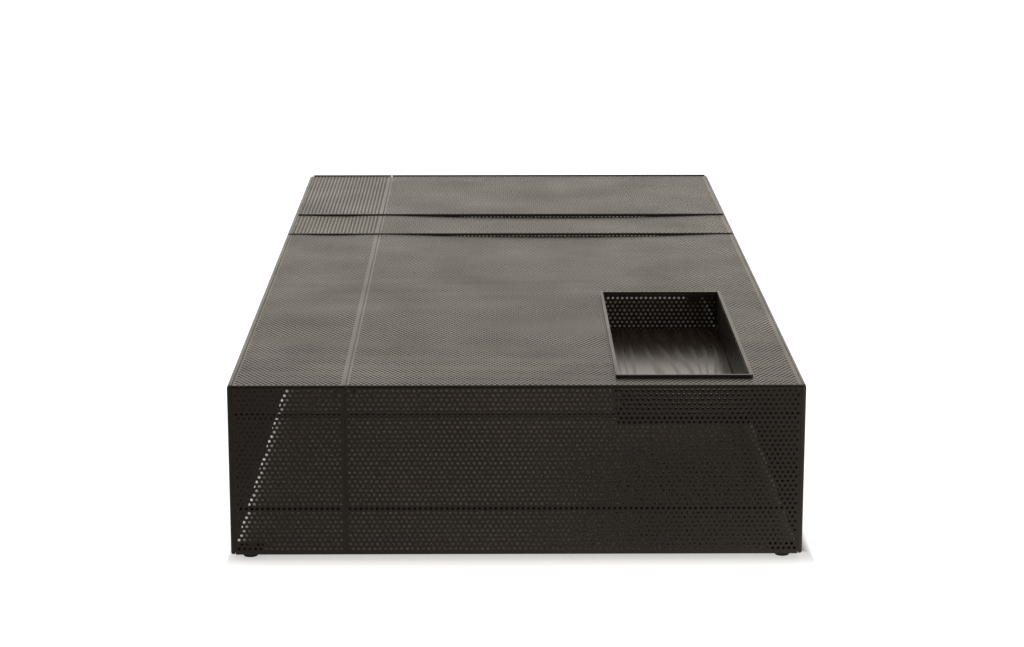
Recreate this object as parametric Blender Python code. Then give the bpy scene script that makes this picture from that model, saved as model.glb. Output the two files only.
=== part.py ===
"""Low rectangular coffee table of folded perforated sheet steel, with a tray that drops into its top.

Metres, +X to the right, +Y to the back, +Z up. The origin is the middle of the footprint, on the floor.
The fine perforation is left out here. Rows of slots in the top sheets stand for its open area.
"""

import math

import bmesh
import bpy
from mathutils import Matrix, Vector

# Overall size
WIDTH = 0.850
DEPTH = 1.760
BODY_HEIGHT = 0.260
FOOT_DROP = 0.009

# Sheets and gaps
SHEET = 0.0015
CLEARANCE = 0.0003
SEAM_GAP = 0.0006
OVERRUN = 0.005

# Side panels: their folded edge shows as a plain border on the top, front and back faces
BORDER = 0.007
SIDE_FOLD = 0.004
SIDE_CORNER = 0.006

# Top panels
TOP_EDGE = 0.0022
TOP_FOLD = 0.002

# Slots in the top panels, and the plain margin round them
SLOT_WIDTH = 0.018
SLOT_LENGTH = 0.165
SLOT_BRIDGE = 0.012
SLOT_PITCH = 0.055
SLOT_MARGIN = 0.024

# Front and back panels
PANEL_LIP = 0.008
PANEL_FOLD = 0.0018
PANEL_CORNER = 0.005

# Seams, measured from the left edge and from the front edge
LONG_SEAM_FROM_LEFT = 0.172
NEAR_SEAM_FROM_FRONT = 1.123
FAR_SEAM_FROM_FRONT = 1.313

# Ledge angles along the sides, and channels under the seams. The cross channels sit lower, as the sheets sag
LEDGE_LEG = 0.020
LEDGE_WALL = 0.002
CHANNEL_WIDTH = 0.030
CHANNEL_HEIGHT = 0.020
CHANNEL_WALL = 0.002
CROSS_CHANNEL_DROP = 0.0045

# Round rods behind the front and back panels
ROD_RADIUS = 0.0035
UPPER_ROD_DROP = 0.049
LOWER_ROD_DROP = 0.192

# Corner plates, feet and their bolts
PLATE_SIZE = 0.042
PLATE_THICKNESS = 0.003
FOOT_INSET = 0.027
FOOT_TOP_RADIUS = 0.013
FOOT_BASE_RADIUS = 0.0105
FOOT_RECESS_RADIUS = 0.0062
FOOT_RECESS_DEPTH = 0.0045
BOLT_RADIUS = 0.0025
BOLT_HEAD_RADIUS = 0.0047
BOLT_HEAD_HEIGHT = 0.003
BOLT_END = 0.0015
NUT_RADIUS = 0.0046
NUT_HEIGHT = 0.004

# Rivets through the folded edges that meet at the front and back seams
RIVET_RADIUS = 0.0015
RIVET_HEAD_RADIUS = 0.0028
RIVET_HEAD_HEIGHT = 0.001
RIVET_HEIGHT_SHARES = (0.24, 0.76)

# Tray
TRAY_WIDTH = 0.204
TRAY_LENGTH = 0.565
TRAY_FROM_RIGHT = 0.074
TRAY_FROM_FRONT = 0.042
RIM_WIDTH = 0.005
RIM_HEIGHT = 0.0045
RIM_EDGE = 0.0008
RIM_CORNER = 0.005
CUTOUT_GAP = 0.001
TRAY_DEPTH = 0.060
BOARD_THICKNESS = 0.012
BOARD_GAP = 0.0005
BOARD_EDGE = 0.001
SCREW_RADIUS = 0.0015
SCREW_HEAD_RADIUS = 0.003
SCREW_HEAD_HEIGHT = 0.0015
SCREW_LENGTH = 0.010
SCREW_INSET = 0.022

# Facets of round shapes
CORNER_STEPS = 3
FOLD_STEPS = 3
BOARD_EDGE_STEPS = 2
ROUND_SIDES = 20
SMALL_SIDES = 12
NUT_SIDES = 6
SMOOTH_ANGLE = math.radians(35)

# The four corners: name, side towards X, side towards Y
CORNERS = (("front_left", -1, -1), ("front_right", 1, -1), ("back_left", -1, 1), ("back_right", 1, 1))

# Levels and faces worked out from the sizes above
BODY_BOTTOM = FOOT_DROP
TOP = FOOT_DROP + BODY_HEIGHT
RIGHT = WIDTH / 2
BACK = DEPTH / 2
INNER_RIGHT = RIGHT - SHEET - CLEARANCE
INNER_BACK = BACK - PANEL_LIP - CLEARANCE
LEDGE_TOP = TOP - SHEET - CLEARANCE
LEDGE_SIDE = RIGHT - SIDE_FOLD
PANEL_TOP = TOP - TOP_EDGE - SEAM_GAP
LONG_SEAM = LONG_SEAM_FROM_LEFT - RIGHT
NEAR_SEAM = NEAR_SEAM_FROM_FRONT - BACK
FAR_SEAM = FAR_SEAM_FROM_FRONT - BACK
TRAY_PANEL = "top_panel_front_right"
TRAY_X = RIGHT - TRAY_FROM_RIGHT - TRAY_WIDTH / 2
TRAY_Y = TRAY_FROM_FRONT + TRAY_LENGTH / 2 - BACK
TRAY_CENTRE = Vector((TRAY_X, TRAY_Y, TOP))

# Colour, roughness and metallic value of each finish
PAINT = ((0.047, 0.040, 0.034, 1), 0.42, 0.35)
STEEL = ((0.42, 0.41, 0.40, 1), 0.35, 1.0)
RUBBER = ((0.018, 0.018, 0.018, 1), 0.75, 0.0)
WOOD = ((0.085, 0.052, 0.034, 1), 0.38, 0.0)


def clear_scene():
    for obj in list(bpy.data.objects):
        bpy.data.objects.remove(obj)


def give_finish(obj, finish):
    colour, roughness, metallic = finish
    material = bpy.data.materials.new(obj.name + "_finish")
    material.use_nodes = True
    shader = material.node_tree.nodes["Principled BSDF"]
    shader.inputs["Base Color"].default_value = colour
    shader.inputs["Roughness"].default_value = roughness
    shader.inputs["Metallic"].default_value = metallic
    obj.data.materials.append(material)


def lofted(name, rings, finish, place=None, hollow=False, smooth=False):
    """A closed solid through rings of points. A hollow one joins its last ring to its first."""
    mesh = bpy.data.meshes.new(name)
    bm = bmesh.new()
    loops = [[bm.verts.new(point) for point in ring] for ring in rings]
    count = len(loops[0])
    pairs = list(zip(loops, loops[1:]))
    if hollow:
        pairs.append((loops[-1], loops[0]))
    else:
        bm.faces.new(loops[0])
        bm.faces.new(loops[-1])
    for lower, upper in pairs:
        for i in range(count):
            j = (i + 1) % count
            bm.faces.new((lower[i], lower[j], upper[j], upper[i]))
    bmesh.ops.recalc_face_normals(bm, faces=bm.faces)
    bm.to_mesh(mesh)
    bm.free()
    if smooth:
        mesh.shade_smooth()
        mesh.set_sharp_from_angle(angle=SMOOTH_ANGLE)
    obj = bpy.data.objects.new(name, mesh)
    bpy.context.scene.collection.objects.link(obj)
    if place is not None:
        obj.matrix_world = place
    if finish is not None:
        give_finish(obj, finish)
    return obj


def rounded_ring(width, length, radius, z):
    """A rectangle with rounded corners, seen from above, at height z."""
    ring = []
    for quarter, (sx, sy) in enumerate(((1, 1), (-1, 1), (-1, -1), (1, -1))):
        centre = Vector((sx * (width / 2 - radius), sy * (length / 2 - radius), z))
        for step in range(CORNER_STEPS + 1):
            angle = math.pi / 2 * (quarter + step / CORNER_STEPS)
            ring.append(centre + Vector((radius * math.cos(angle), radius * math.sin(angle), 0)))
    return ring


def round_ring(radius, z, sides):
    turn = 2 * math.pi / sides
    return [Vector((radius * math.cos(turn * i), radius * math.sin(turn * i), z)) for i in range(sides)]


def turned(name, profile, finish, place, sides=ROUND_SIDES, hollow=False):
    """A turned piece about Z from (radius, height) points."""
    rings = [round_ring(radius, z, sides) for radius, z in profile]
    return lofted(name, rings, finish, place, hollow, smooth=sides > NUT_SIDES)


def folded_panel(name, width, length, lip, fold, corner, place):
    """A sheet with its four edges folded back. Its outer face is at z = 0, the edges reach down to -lip."""
    rings = []
    for step in range(FOLD_STEPS + 1):
        angle = math.pi / 2 * step / FOLD_STEPS
        inset = fold * (1 - math.sin(angle))
        drop = fold * (math.cos(angle) - 1)
        rings.append(rounded_ring(width - 2 * inset, length - 2 * inset, corner - inset, drop))
    rings.append(rounded_ring(width, length, corner, -lip))
    rings.append(rounded_ring(width - 2 * SHEET, length - 2 * SHEET, corner - SHEET, -lip))
    for step in range(FOLD_STEPS, -1, -1):
        angle = math.pi / 2 * step / FOLD_STEPS
        inset = SHEET + (fold - SHEET) * (1 - math.sin(angle))
        depth = -fold + (fold - SHEET) * math.cos(angle)
        rings.append(rounded_ring(width - 2 * inset, length - 2 * inset, corner - inset, depth))
    return lofted(name, rings, PAINT, place, smooth=True)


def facing(normal, across, centre):
    """Places a flat piece: its own Z along normal, its own X along across."""
    up = Vector(normal).cross(Vector(across))
    turn = Matrix((across, up, normal)).transposed().to_4x4()
    return Matrix.Translation(centre) @ turn


def bar(name, section, start, end, across, finish):
    """A straight bar: a closed section of (sideways, up) points swept from start to end."""
    side = Vector(across)
    up = Vector((0, 0, 1))
    rings = [[Vector(at) + side * s + up * u for s, u in section] for at in (start, end)]
    return lofted(name, rings, finish)


def slab(name, low, high, finish, place=None):
    """A plain rectangular plate between two corners."""
    section = [(low[0], low[1]), (high[0], low[1]), (high[0], high[1]), (low[0], high[1])]
    rings = [[Vector((x, y, z)) for x, y in section] for z in (low[2], high[2])]
    return lofted(name, rings, finish, place)


def hide_cutter(cutter):
    cutter.hide_render = True
    cutter.display_type = "WIRE"


def cut(obj, cutter):
    modifier = obj.modifiers.new("cut_" + cutter.name, "BOOLEAN")
    modifier.operation = "DIFFERENCE"
    modifier.solver = "EXACT"
    modifier.object = cutter


def many_pins(name, pins):
    """One cutter made of separate pins, each given by its lower and its upper ring of points."""
    mesh = bpy.data.meshes.new(name)
    bm = bmesh.new()
    for pin in pins:
        lower, upper = [[bm.verts.new(point) for point in ring] for ring in pin]
        bm.faces.new(lower)
        bm.faces.new(upper)
        for i in range(len(lower)):
            j = (i + 1) % len(lower)
            bm.faces.new((lower[i], lower[j], upper[j], upper[i]))
    bmesh.ops.recalc_face_normals(bm, faces=bm.faces)
    bm.to_mesh(mesh)
    bm.free()
    cutter = bpy.data.objects.new(name, mesh)
    bpy.context.scene.collection.objects.link(cutter)
    hide_cutter(cutter)
    return cutter


def drill(name, radius, places, low, high, along=None):
    """One cutter with a round pin at each place, from low to high along its own Z."""
    pins = []
    for place in places:
        spot = Matrix.Translation(place) @ (along or Matrix.Identity(4))
        pins.append([[spot @ point for point in round_ring(radius, z, SMALL_SIDES)] for z in (low, high)])
    return many_pins(name, pins)


def columns():
    """The two columns of panels, left and right of the long seam, as (name, low x, high x)."""
    edge = RIGHT - BORDER - SEAM_GAP
    return (("left", -edge, LONG_SEAM - SEAM_GAP / 2), ("right", LONG_SEAM + SEAM_GAP / 2, edge))


def top_section(low_y, high_y, folded_end):
    """Side view of a top sheet as (y, z) points. The end on the outside of the table is folded down."""
    outer, inner = (low_y, high_y) if folded_end < 0 else (high_y, low_y)
    if not folded_end:
        return [(low_y, 0), (high_y, 0), (high_y, -SHEET), (low_y, -SHEET)]
    section = [(inner, 0)]
    for radius, steps in ((TOP_FOLD, range(FOLD_STEPS + 1)), (TOP_FOLD - SHEET, range(FOLD_STEPS, -1, -1))):
        for step in steps:
            angle = math.pi / 2 * step / FOLD_STEPS
            inward = TOP_FOLD - radius * math.sin(angle)
            section.append((outer - folded_end * inward, radius * math.cos(angle) - TOP_FOLD))
        if radius == TOP_FOLD:
            section.append((outer, -TOP_EDGE))
            section.append((outer - folded_end * SHEET, -TOP_EDGE))
    section.append((inner, -SHEET))
    return section


def make_top_panels():
    """Six flat sheets. Those at the front and the back have their outer edge folded down."""
    rows = (
        ("front", -BACK, NEAR_SEAM - SEAM_GAP / 2, -1),
        ("middle", NEAR_SEAM + SEAM_GAP / 2, FAR_SEAM - SEAM_GAP / 2, 0),
        ("back", FAR_SEAM + SEAM_GAP / 2, BACK, 1),
    )
    panels = {}
    for row, low_y, high_y, folded_end in rows:
        for column, low_x, high_x in columns():
            name = f"top_panel_{row}_{column}"
            section = top_section(low_y, high_y, folded_end)
            ends = [(x, 0, TOP) for x in (low_x, high_x)]
            panels[name] = bar(name, section, *ends, (0, 1, 0), PAINT)
            if name != TRAY_PANEL:
                cut_slots(panels[name], Vector((low_x, low_y)), Vector((high_x, high_y)))
    return panels


def spread(low, high, step):
    """Even steps of about that size between two ends: the middle of each, and their size."""
    count = max(1, math.floor((high - low) / step))
    size = (high - low) / count
    return [low + size * (i + 1 / 2) for i in range(count)], size


def cut_slots(panel, low, high):
    """Rows of slots lengthwise in a top panel."""
    margin = Vector((SLOT_MARGIN, SLOT_MARGIN))
    low, high = low + margin, high - margin
    columns_x, _ = spread(low.x, high.x, SLOT_PITCH)
    rows_y, row_length = spread(low.y, high.y, min(SLOT_LENGTH, high.y - low.y))
    half = Vector((SLOT_WIDTH / 2, (row_length - SLOT_BRIDGE) / 2))
    corners = ((-half.x, -half.y), (half.x, -half.y), (half.x, half.y), (-half.x, half.y))
    heights = (TOP - OVERRUN, TOP + OVERRUN)
    pins = []
    for x in columns_x:
        for y in rows_y:
            pins.append([[Vector((x + dx, y + dy, z)) for dx, dy in corners] for z in heights])
    cut(panel, many_pins("slots_" + panel.name, pins))


def make_tray_cutout(panel):
    """The opening in the front right top panel that the tray drops into."""
    overhang = RIM_WIDTH - SHEET - CUTOUT_GAP
    size = (TRAY_WIDTH - 2 * overhang, TRAY_LENGTH - 2 * overhang)
    corner = RIM_CORNER - overhang
    rings = [rounded_ring(*size, corner, z) for z in (-OVERRUN, OVERRUN)]
    cutter = lofted("tray_cutter", rings, None, Matrix.Translation(TRAY_CENTRE))
    hide_cutter(cutter)
    cut(panel, cutter)


def make_front_and_back():
    """Two upright panels at the front and two at the back, riveted together at the seam."""
    height = PANEL_TOP - BODY_BOTTOM
    middle = (PANEL_TOP + BODY_BOTTOM) / 2
    rivet_inset = (PANEL_LIP + SHEET) / 2
    heads = SEAM_GAP / 2 + SHEET + CLEARANCE
    end = heads + RIVET_HEAD_HEIGHT
    profile = (
        (RIVET_HEAD_RADIUS, -end),
        (RIVET_HEAD_RADIUS, -heads),
        (RIVET_RADIUS, -heads),
        (RIVET_RADIUS, heads),
        (RIVET_HEAD_RADIUS, heads),
        (RIVET_HEAD_RADIUS, end),
    )
    crossways = Matrix.Rotation(math.pi / 2, 4, "Y")
    for face, sign in (("front", -1), ("back", 1)):
        depth = sign * (BACK - rivet_inset)
        places = [Vector((LONG_SEAM, depth, BODY_BOTTOM + share * height)) for share in RIVET_HEIGHT_SHARES]
        cutter = drill(face + "_rivet_cutter", RIVET_RADIUS + CLEARANCE, places, -end, end, crossways)
        for column, low_x, high_x in columns():
            centre = ((low_x + high_x) / 2, sign * BACK, middle)
            place = facing((0, sign, 0), (-sign, 0, 0), centre)
            size = (high_x - low_x, height)
            panel = folded_panel(f"{face}_panel_{column}", *size, PANEL_LIP, PANEL_FOLD, PANEL_CORNER, place)
            cut(panel, cutter)
        for label, spot in zip(("lower", "upper"), places):
            turned(f"{face}_rivet_{label}", profile, STEEL, Matrix.Translation(spot) @ crossways, SMALL_SIDES)


def make_sides():
    """Two side panels on each side, with a ledge angle inside each."""
    spans = (("front", -BACK, NEAR_SEAM - SEAM_GAP / 2), ("back", NEAR_SEAM + SEAM_GAP / 2, BACK))
    middle = (TOP + BODY_BOTTOM) / 2
    section = (
        (0, 0),
        (0, -LEDGE_LEG),
        (LEDGE_WALL, -LEDGE_LEG),
        (LEDGE_WALL, -LEDGE_WALL),
        (LEDGE_LEG, -LEDGE_WALL),
        (LEDGE_LEG, 0),
    )
    for side, sign in (("left", -1), ("right", 1)):
        for span, low_y, high_y in spans:
            centre = (sign * RIGHT, (low_y + high_y) / 2, middle)
            place = facing((sign, 0, 0), (0, sign, 0), centre)
            name = f"side_panel_{side}_{span}"
            folded_panel(name, high_y - low_y, TOP - BODY_BOTTOM, BORDER, SIDE_FOLD, SIDE_CORNER, place)
            start_y = -INNER_BACK if span == "front" else low_y + SIDE_CORNER
            end_y = INNER_BACK if span == "back" else high_y - SIDE_CORNER
            ends = [(sign * LEDGE_SIDE, y, LEDGE_TOP) for y in (start_y, end_y)]
            bar(f"ledge_{side}_{span}", section, *ends, (-sign, 0, 0), PAINT)


def make_channels():
    """Channels, open below, under the long seam and, a little lower, under the two cross seams."""
    half = CHANNEL_WIDTH / 2
    inner = half - CHANNEL_WALL
    section = (
        (-half, 0),
        (-half, -CHANNEL_HEIGHT),
        (-inner, -CHANNEL_HEIGHT),
        (-inner, -CHANNEL_WALL),
        (inner, -CHANNEL_WALL),
        (inner, -CHANNEL_HEIGHT),
        (half, -CHANNEL_HEIGHT),
        (half, 0),
    )
    ends = [(LONG_SEAM, y, LEDGE_TOP) for y in (-INNER_BACK, INNER_BACK)]
    bar("seam_channel_long", section, *ends, (1, 0, 0), PAINT)
    ledge_edge = LEDGE_SIDE - LEDGE_LEG - CLEARANCE
    spans = (
        ("left", -ledge_edge, LONG_SEAM - half - CLEARANCE),
        ("right", LONG_SEAM + half + CLEARANCE, ledge_edge),
    )
    for row, y in (("near", NEAR_SEAM), ("far", FAR_SEAM)):
        for column, low_x, high_x in spans:
            ends = [(x, y, LEDGE_TOP - CROSS_CHANNEL_DROP) for x in (low_x, high_x)]
            bar(f"seam_channel_{row}_{column}", section, *ends, (0, 1, 0), PAINT)


def make_rods():
    """Two thin rods behind the front panels and two behind the back panels."""
    depth = INNER_BACK - ROD_RADIUS
    crossways = Matrix.Rotation(math.pi / 2, 4, "Y")
    profile = ((ROD_RADIUS, -INNER_RIGHT), (ROD_RADIUS, INNER_RIGHT))
    for face, sign in (("front", -1), ("back", 1)):
        for label, drop in (("upper", UPPER_ROD_DROP), ("lower", LOWER_ROD_DROP)):
            place = Matrix.Translation((0, sign * depth, TOP - drop)) @ crossways
            turned(f"{face}_rod_{label}", profile, PAINT, place, SMALL_SIDES)


def make_feet():
    """A plate in each bottom corner, with a bolted rubber foot below it."""
    plate_bottom = BODY_BOTTOM + SHEET + CLEARANCE
    plate_top = plate_bottom + PLATE_THICKNESS
    foot_top = plate_bottom - CLEARANCE
    recess_top = FOOT_RECESS_DEPTH
    head_top = recess_top - CLEARANCE
    nut_bottom = plate_top + CLEARANCE
    nut_top = nut_bottom + NUT_HEIGHT
    hole = BOLT_RADIUS + CLEARANCE
    edge = FOOT_TOP_RADIUS - FOOT_BASE_RADIUS
    foot_profile = (
        (FOOT_RECESS_RADIUS, 0),
        (FOOT_BASE_RADIUS, 0),
        (FOOT_BASE_RADIUS + edge * math.sin(math.pi / 4), foot_top * (1 - math.cos(math.pi / 4))),
        (FOOT_TOP_RADIUS, foot_top / 2),
        (FOOT_TOP_RADIUS, foot_top),
        (hole, foot_top),
        (hole, recess_top),
        (FOOT_RECESS_RADIUS, recess_top),
    )
    bolt_profile = (
        (BOLT_HEAD_RADIUS, head_top - BOLT_HEAD_HEIGHT),
        (BOLT_HEAD_RADIUS, head_top),
        (BOLT_RADIUS, head_top),
        (BOLT_RADIUS, nut_top + BOLT_END),
    )
    nut_bore = hole / math.cos(math.pi / NUT_SIDES)
    nut_profile = (
        (nut_bore, nut_bottom),
        (NUT_RADIUS, nut_bottom),
        (NUT_RADIUS, nut_top),
        (nut_bore, nut_top),
    )
    across, along = RIGHT - FOOT_INSET, BACK - FOOT_INSET
    places = [Vector((sx * across, sy * along, 0)) for _, sx, sy in CORNERS]
    cutter = drill("plate_cutter", hole, places, plate_bottom - OVERRUN, plate_top + OVERRUN)
    for (label, sx, sy), spot in zip(CORNERS, places):
        outer = Vector((sx * (RIGHT - SIDE_FOLD), sy * INNER_BACK))
        inner = outer - Vector((sx * PLATE_SIZE, sy * PLATE_SIZE))
        low = (min(outer.x, inner.x), min(outer.y, inner.y), plate_bottom)
        high = (max(outer.x, inner.x), max(outer.y, inner.y), plate_top)
        cut(slab("corner_plate_" + label, low, high, PAINT), cutter)
        place = Matrix.Translation(spot)
        turned("foot_" + label, foot_profile, RUBBER, place, hollow=True)
        turned("foot_bolt_" + label, bolt_profile, STEEL, place, SMALL_SIDES)
        turned("foot_nut_" + label, nut_profile, STEEL, place, NUT_SIDES, hollow=True)


def make_tray():
    """The drop-in tray: a rim, four walls, a bottom sheet and a wooden board screwed to it."""
    lift = bpy.data.objects.new("tray_lift", None)
    bpy.context.scene.collection.objects.link(lift)
    lift.location = TRAY_CENTRE
    rim_low = CLEARANCE
    wall_top = rim_low - CLEARANCE
    board_top = -TRAY_DEPTH
    board_bottom = board_top - BOARD_THICKNESS
    floor_top = board_bottom - CLEARANCE
    wall_bottom = floor_top + CLEARANCE
    floor_bottom = floor_top - SHEET
    inner_x = TRAY_WIDTH / 2 - RIM_WIDTH
    inner_y = TRAY_LENGTH / 2 - RIM_WIDTH
    outer_x, outer_y = inner_x + SHEET, inner_y + SHEET
    inner_corner = RIM_CORNER - RIM_WIDTH + RIM_EDGE
    rim_rings = (
        rounded_ring(2 * inner_x, 2 * inner_y, inner_corner, rim_low),
        rounded_ring(TRAY_WIDTH, TRAY_LENGTH, RIM_CORNER, rim_low),
        rounded_ring(TRAY_WIDTH, TRAY_LENGTH, RIM_CORNER, RIM_HEIGHT - RIM_EDGE),
        rounded_ring(
            TRAY_WIDTH - 2 * RIM_EDGE,
            TRAY_LENGTH - 2 * RIM_EDGE,
            RIM_CORNER - RIM_EDGE,
            RIM_HEIGHT,
        ),
        rounded_ring(2 * inner_x, 2 * inner_y, inner_corner, RIM_HEIGHT),
    )
    pieces = [lofted("tray_rim", rim_rings, PAINT, hollow=True)]
    for label, sign in (("left", -1), ("right", 1)):
        xs = sorted((sign * inner_x, sign * outer_x))
        low, high = (xs[0], -outer_y, wall_bottom), (xs[1], outer_y, wall_top)
        pieces.append(slab("tray_wall_" + label, low, high, PAINT))
    for label, sign in (("front", -1), ("back", 1)):
        ys = sorted((sign * inner_y, sign * outer_y))
        reach = inner_x - CLEARANCE
        low, high = (-reach, ys[0], wall_bottom), (reach, ys[1], wall_top)
        pieces.append(slab("tray_wall_" + label, low, high, PAINT))
    bottom_low = (-outer_x, -outer_y, floor_bottom)
    bottom_high = (outer_x, outer_y, floor_top)
    bottom = slab("tray_bottom", bottom_low, bottom_high, PAINT)
    board_x, board_y = inner_x - BOARD_GAP, inner_y - BOARD_GAP
    board = slab("tray_board", (-board_x, -board_y, board_bottom), (board_x, board_y, board_top), WOOD)
    edge = board.modifiers.new("edge", "BEVEL")
    edge.width = BOARD_EDGE
    edge.segments = BOARD_EDGE_STEPS
    pieces += [bottom, board]
    head_top = floor_bottom - CLEARANCE
    screw_top = head_top + SCREW_LENGTH
    screw_profile = (
        (SCREW_HEAD_RADIUS, head_top - SCREW_HEAD_HEIGHT),
        (SCREW_HEAD_RADIUS, head_top),
        (SCREW_RADIUS, head_top),
        (SCREW_RADIUS, screw_top),
    )
    spots = [
        (label, Vector((sx * (inner_x - SCREW_INSET), sy * (inner_y - SCREW_INSET), 0)))
        for label, sx, sy in CORNERS
    ]
    places = [spot for _, spot in spots]
    bore = SCREW_RADIUS + CLEARANCE
    cutter = drill("screw_cutter", bore, places, head_top - OVERRUN, screw_top + CLEARANCE)
    cut(bottom, cutter)
    cut(board, cutter)
    for label, spot in spots:
        place = Matrix.Translation(spot)
        pieces.append(turned("tray_screw_" + label, screw_profile, STEEL, place, SMALL_SIDES))
    for piece in pieces + [cutter]:
        piece.parent = lift


def main():
    clear_scene()
    panels = make_top_panels()
    make_tray_cutout(panels[TRAY_PANEL])
    make_front_and_back()
    make_sides()
    make_channels()
    make_rods()
    make_feet()
    make_tray()


main()
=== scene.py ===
"""Looks of a low coffee table of folded perforated sheet steel, with a tray that drops into its top.

Metres, +X to the right, +Y to the back, +Z up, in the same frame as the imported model.
"""

import math

import bpy
import numpy as np
from mathutils import Matrix, Vector
from mathutils.geometry import delaunay_2d_cdt


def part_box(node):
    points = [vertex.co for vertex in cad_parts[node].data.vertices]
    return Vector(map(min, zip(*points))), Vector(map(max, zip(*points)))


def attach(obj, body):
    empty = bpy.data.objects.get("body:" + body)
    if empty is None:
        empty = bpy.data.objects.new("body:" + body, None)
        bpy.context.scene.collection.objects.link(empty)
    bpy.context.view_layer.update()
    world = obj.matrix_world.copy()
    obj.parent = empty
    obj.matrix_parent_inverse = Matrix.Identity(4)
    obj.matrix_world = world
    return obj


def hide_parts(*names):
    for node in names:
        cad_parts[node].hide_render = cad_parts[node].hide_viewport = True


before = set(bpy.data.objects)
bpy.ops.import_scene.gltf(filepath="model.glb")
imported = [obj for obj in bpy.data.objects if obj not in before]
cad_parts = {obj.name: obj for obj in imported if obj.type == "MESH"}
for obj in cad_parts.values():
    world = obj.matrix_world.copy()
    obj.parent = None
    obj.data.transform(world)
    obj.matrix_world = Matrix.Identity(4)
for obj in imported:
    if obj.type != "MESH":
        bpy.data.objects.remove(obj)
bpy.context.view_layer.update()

# Perforated sheet: round holes in staggered rows
SHEET = 0.0015
HOLE_PITCH = 0.008
HALF_PITCH = HOLE_PITCH / 2
ROW_PITCH = HOLE_PITCH * math.sqrt(3) / 2
HOLE_RADIUS = 0.0023
HOLE_SIDES = 8
FINE_HOLE_SIDES = 12
HOLE_MARGIN = 0.0002
SPARE_COLUMNS = 3
# The lower rim of a hole is this many times smaller on the texture, so that the wall lies inside the hole
HOLE_TEXTURE_SHRINK = 3
# Points this close count as one
MERGE_REACH = 1e-9
# Steeper edges than this are sharp
SMOOTH_ANGLE = math.radians(50)

# Points along outlines and folds
EDGE_STEP = 0.030
CORNER_STEPS = 5
FOLD_STEPS = 4

# Edges of the top sheets
TOP_CORNER = 0.0003
EASED_EDGE = 0.0004
# A fold is the outer radius of a bend, and a lip is how far the folded edge reaches down
FRONT_FOLD = 0.0020
FRONT_LIP = 0.0022
# Edges along a cross seam: the front edge behind it and the sagging rear edge before it
SEAM_FOLD = 0.0035
SEAM_LIP = 0.0042
SAGGING_FOLD = 0.0020
SAGGING_LIP = 0.0017
# Hem along the back of the top
HEM_WIDTH = 0.0024
HEM_HEIGHT = 0.0020
HEM_INNER_SHARE = 0.2

# Edges of the front and back panels
ROUNDED_EDGE = 0.0005
PANEL_FOLD = 0.0018
PANEL_CORNER = 0.0002
PANEL_LIP = 0.008
# How far a panel passes its CAD node at the seam and at the side
PANEL_SEAM_REACH = 0.0003
PANEL_SIDE_REACH = 0.0005

# Edges of the side sheets
SIDE_FOLD = 0.004
SIDE_CORNER = 0.001
SIDE_LIP = 0.007
SIDE_FOOT_FOLD = 0.0030
SIDE_FOOT_LIP = 0.0030
SIDE_TOP_LIP_RIGHT = 0.0048

# The top sheets lie unevenly: front edges behind a cross seam stand up, and rear edges before one hang
SEAM_LIFT = 0.0018
REAR_LIFT = 0.0024
# Sag of the right-hand sheet at the front, of the one behind it, and of the left-hand sheets
WIDE_SAG = 0.0042
STRIP_SAG = 0.0042
NARROW_SAG = 0.0010
# How far from such an edge the sheet is bent, and how near its side edges it doesn't hang
SAG_REACH = 0.45
LEDGE_REACH = 0.024

# The long seam as it shows in the top
TOP_SEAM = -0.2503
TOP_SEAM_GAP = 0.0020
# How far the top sheets pass their CAD nodes at the left and right side
LEFT_REACH = -0.0004
RIGHT_REACH = 0.0022

# Where a column of holes is, right and left of the long seam
TOP_RIGHT_COLUMN = -0.2446
FRONT_RIGHT_COLUMN = -0.2469
LEFT_COLUMN = -0.2643
# Where a row is in the top sheets whose rows run along the table
CROSSWISE_ROW = -0.2603
# Height of a row in the upright sheets
TOP_ROW = 0.2607
# Width that stays without holes left of the long seam
SEAM_BORDER = 0.0037

# Tray
RIM_WIDTH = 0.005
RIM_CORNER = 0.005
# Gap between the walls and the cut-out
CUTOUT_GAP = 0.001
TRAY_WALL_EDGE = 0.0003
# How far the top row of holes lies below the upper edge of a wall
TRAY_TOP_ROW = 0.0061
TRAY_FRONT_TOP_ROW = 0.0096

# Noise mostly stays within this range. Shades pair a place in a range with a colour
NOISE_RANGE = (0.3, 0.7)

# Paint
PAINT_SHADES = ((0.30, (0.021, 0.0162, 0.0127)), (0.70, (0.031, 0.0244, 0.0195)))
PAINT_ROUGHNESS = (0.34, 0.42)
PAINT_SHEEN = (0.88, 0.76, 0.67, 1)
PAINT_IOR = 1.45
PAINT_CLOUDS = {"Scale": 7.0, "Detail": 5.0}
PAINT_GRAIN = {"Scale": 420.0, "Detail": 2.0}
PAINT_RELIEF = {"Strength": 0.25, "Distance": 0.0001}

# Plated steel
STEEL_SHADES = ((0.35, (0.36, 0.35, 0.33)), (0.65, (0.55, 0.54, 0.52)))
STEEL_ROUGHNESS = (0.28, 0.5)
STEEL_SPOTS = {"Scale": 900.0, "Detail": 3.0}
STEEL_RELIEF = {"Strength": 0.15, "Distance": 0.00005}

# Rubber
RUBBER_SHADES = ((0.35, (0.012, 0.012, 0.012)), (0.75, (0.035, 0.034, 0.032)))
RUBBER_ROUGHNESS = (0.6, 0.85)
RUBBER_DUST = {"Scale": 160.0, "Detail": 6.0, "Roughness": 0.65}
RUBBER_RELIEF = {"Strength": 0.3, "Distance": 0.0002}

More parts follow.
